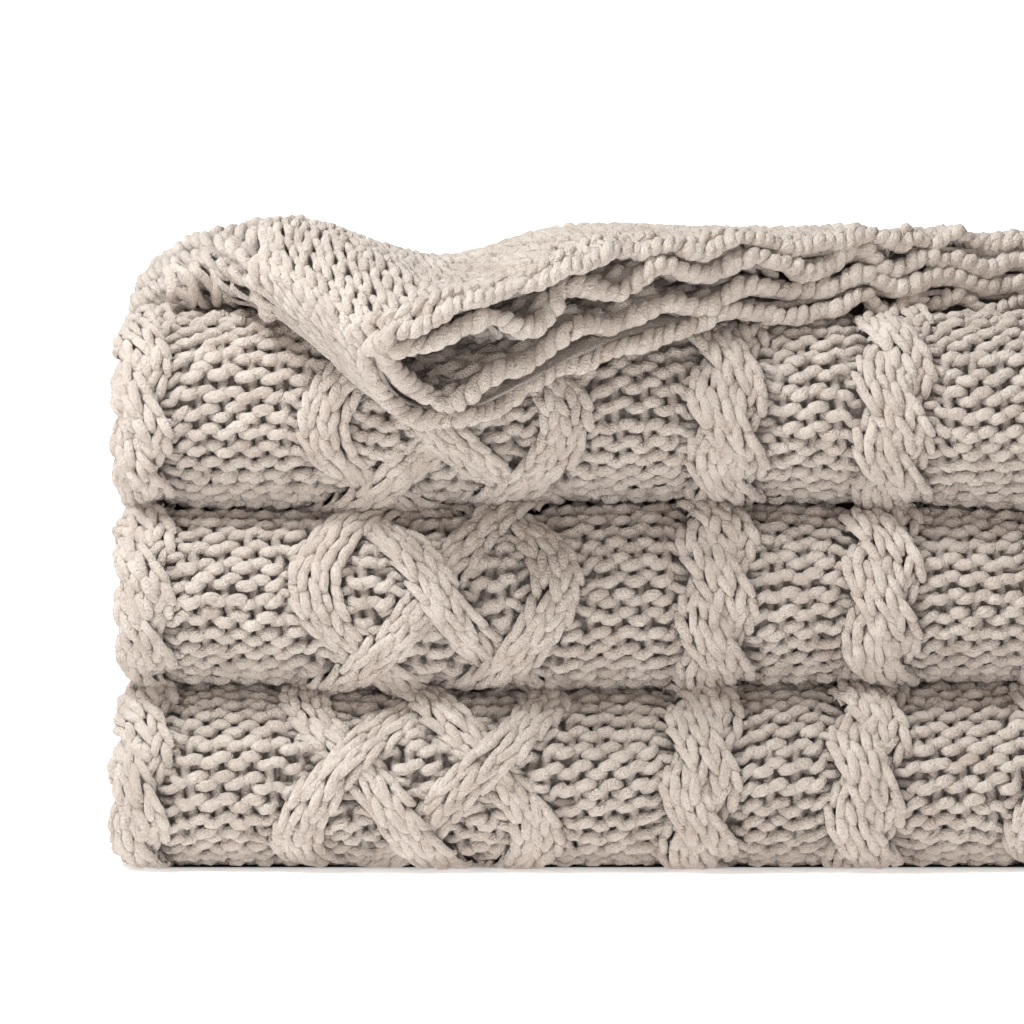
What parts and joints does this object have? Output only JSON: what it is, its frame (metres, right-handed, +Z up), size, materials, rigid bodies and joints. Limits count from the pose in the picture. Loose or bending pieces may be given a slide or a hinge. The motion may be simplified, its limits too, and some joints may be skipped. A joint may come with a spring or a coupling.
{
  "type": "chunky knit blanket",
  "caption": "Chunky cable-knit throw in a soft oatmeal yarn, folded lengthwise and then back and forth into a neat stack, its top corner drooping over the front.",
  "frame": {"origin": "centre of the bottom of the bounding box, on the surface the folded throw lies on", "axes": "+Z up, +X to the right along the folded strip's width as seen from the front, -Y to the front, where the three fat loops and the drooping corner are"},
  "size_m": [0.4082, 0.27, 0.2435],
  "materials": {
    "yarn": "matte, softly fuzzy chenille yarn, knitted"
  },
  "bodies": {
    "root": {"throw": "yarn"}
  },
  "joints": []
}
